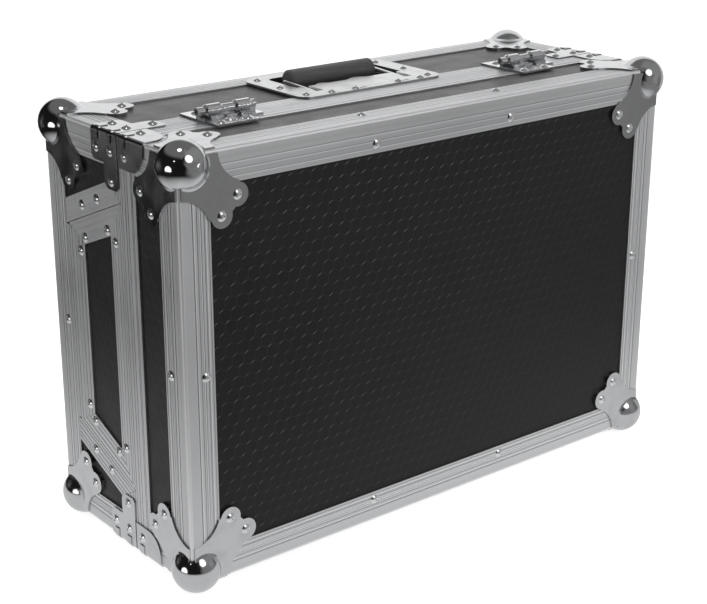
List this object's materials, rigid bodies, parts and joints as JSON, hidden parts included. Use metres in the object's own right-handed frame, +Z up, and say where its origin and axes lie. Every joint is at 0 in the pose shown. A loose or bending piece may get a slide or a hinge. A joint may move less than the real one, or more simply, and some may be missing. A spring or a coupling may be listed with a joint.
{
  "type": "flight case",
  "caption": "Hinged flight case for a tabletop player: laminated panels in aluminium profiles, ball corners, sprung handle, slanted cable door, recessed latches and foam lining",
  "frame": {"origin": "middle of the bounding box, on the ground plane under the balls", "axes": "X along the case, Y from the lid's face to the back, Z up"},
  "size_m": [0.5926, 0.2386, 0.4115],
  "materials": {
    "laminate": "black laminate with a pressed honeycomb pattern, on plywood",
    "angle_aluminium": "mill finish with fine pressed lines",
    "rim_aluminium": "mill finish with fine pressed lines",
    "corner_steel": "bright zinc plated, pressed",
    "plated_steel": "bright zinc plated",
    "rivet_steel": "bright plated",
    "pin_steel": "plated wire",
    "grip_rubber": "matt black",
    "foam": "dark grey closed-cell foam"
  },
  "bodies": {
    "base": {"back_panel": "laminate", "base_top_panel": "laminate", "base_bottom_panel": "laminate", "base_right_panel": "laminate", "base_left_panels": "laminate", "base_long_angles": "angle_aluminium", "base_upright_angles": "angle_aluminium", "base_depth_angles": "angle_aluminium", "base_closing_profile": "rim_aluminium", "door_opening_profiles": "rim_aluminium", "base_ball_corners": "corner_steel", "base_corner_braces": "plated_steel", "base_rivets": "rivet_steel", "hinge_base_leaves": "plated_steel", "hinge_pins": "pin_steel", "handle_dish": "plated_steel", "handle_rivets": "rivet_steel", "handle_springs": "pin_steel", "latch_base_dishes": "plated_steel", "door_panel": "laminate", "door_profiles": "rim_aluminium", "door_rivets": "rivet_steel", "floor_pad_foam": "foam", "side_pads": "foam", "end_pad": "foam", "divider_panel": "laminate", "divider_foam": "foam"},
    "lid": {"lid_face_panel": "laminate", "lid_top_panel": "laminate", "lid_bottom_panel": "laminate", "lid_left_panel": "laminate", "lid_right_panel": "laminate", "lid_long_angles": "angle_aluminium", "lid_upright_angles": "angle_aluminium", "lid_depth_angles": "angle_aluminium", "lid_closing_profile": "rim_aluminium", "lid_ball_corners": "corner_steel", "lid_corner_braces": "plated_steel", "lid_rivets": "rivet_steel", "hinge_lid_leaves": "plated_steel", "latch_lid_dishes": "plated_steel", "lid_pad": "foam", "lid_strips": "foam"},
    "handle": {"handle_bail": "pin_steel", "handle_grip": "grip_rubber"},
    "left_rotor": {"latch_rotor_left": "plated_steel"},
    "right_rotor": {"latch_rotor_right": "plated_steel"},
    "left_wing": {"latch_wing_left": "plated_steel"},
    "right_wing": {"latch_wing_right": "plated_steel"}
  },
  "joints": [
    {"name": "lid_open", "type": "hinge", "parent": "base", "child": "lid", "pos_m": [0, -0.018, 0.4063], "axis": [-1, 0, 0], "range_deg": [0, 100]},
    {"name": "handle_lift", "type": "hinge", "parent": "base", "child": "handle", "pos_m": [0, 0.012, 0.3963], "axis": [1, 0, 0], "range_deg": [0, 87], "stiffness_Nm_per_rad": 0.08},
    {"name": "left_latch_turn", "type": "hinge", "parent": "base", "child": "left_rotor", "pos_m": [-0.175, -0.002, 0.0103], "axis": [0, 0, -1], "range_deg": [0, 90]},
    {"name": "right_latch_turn", "type": "hinge", "parent": "base", "child": "right_rotor", "pos_m": [0.175, -0.002, 0.0103], "axis": [0, 0, -1], "range_deg": [0, 90]},
    {"name": "left_wing_flip", "type": "hinge", "parent": "left_rotor", "child": "left_wing", "pos_m": [-0.175, 0.005, 0.0103], "axis": [1, 0, 0], "range_deg": [0, 90]},
    {"name": "right_wing_flip", "type": "hinge", "parent": "right_rotor", "child": "right_wing", "pos_m": [0.175, 0.005, 0.0103], "axis": [1, 0, 0], "range_deg": [0, 90]}
  ]
}
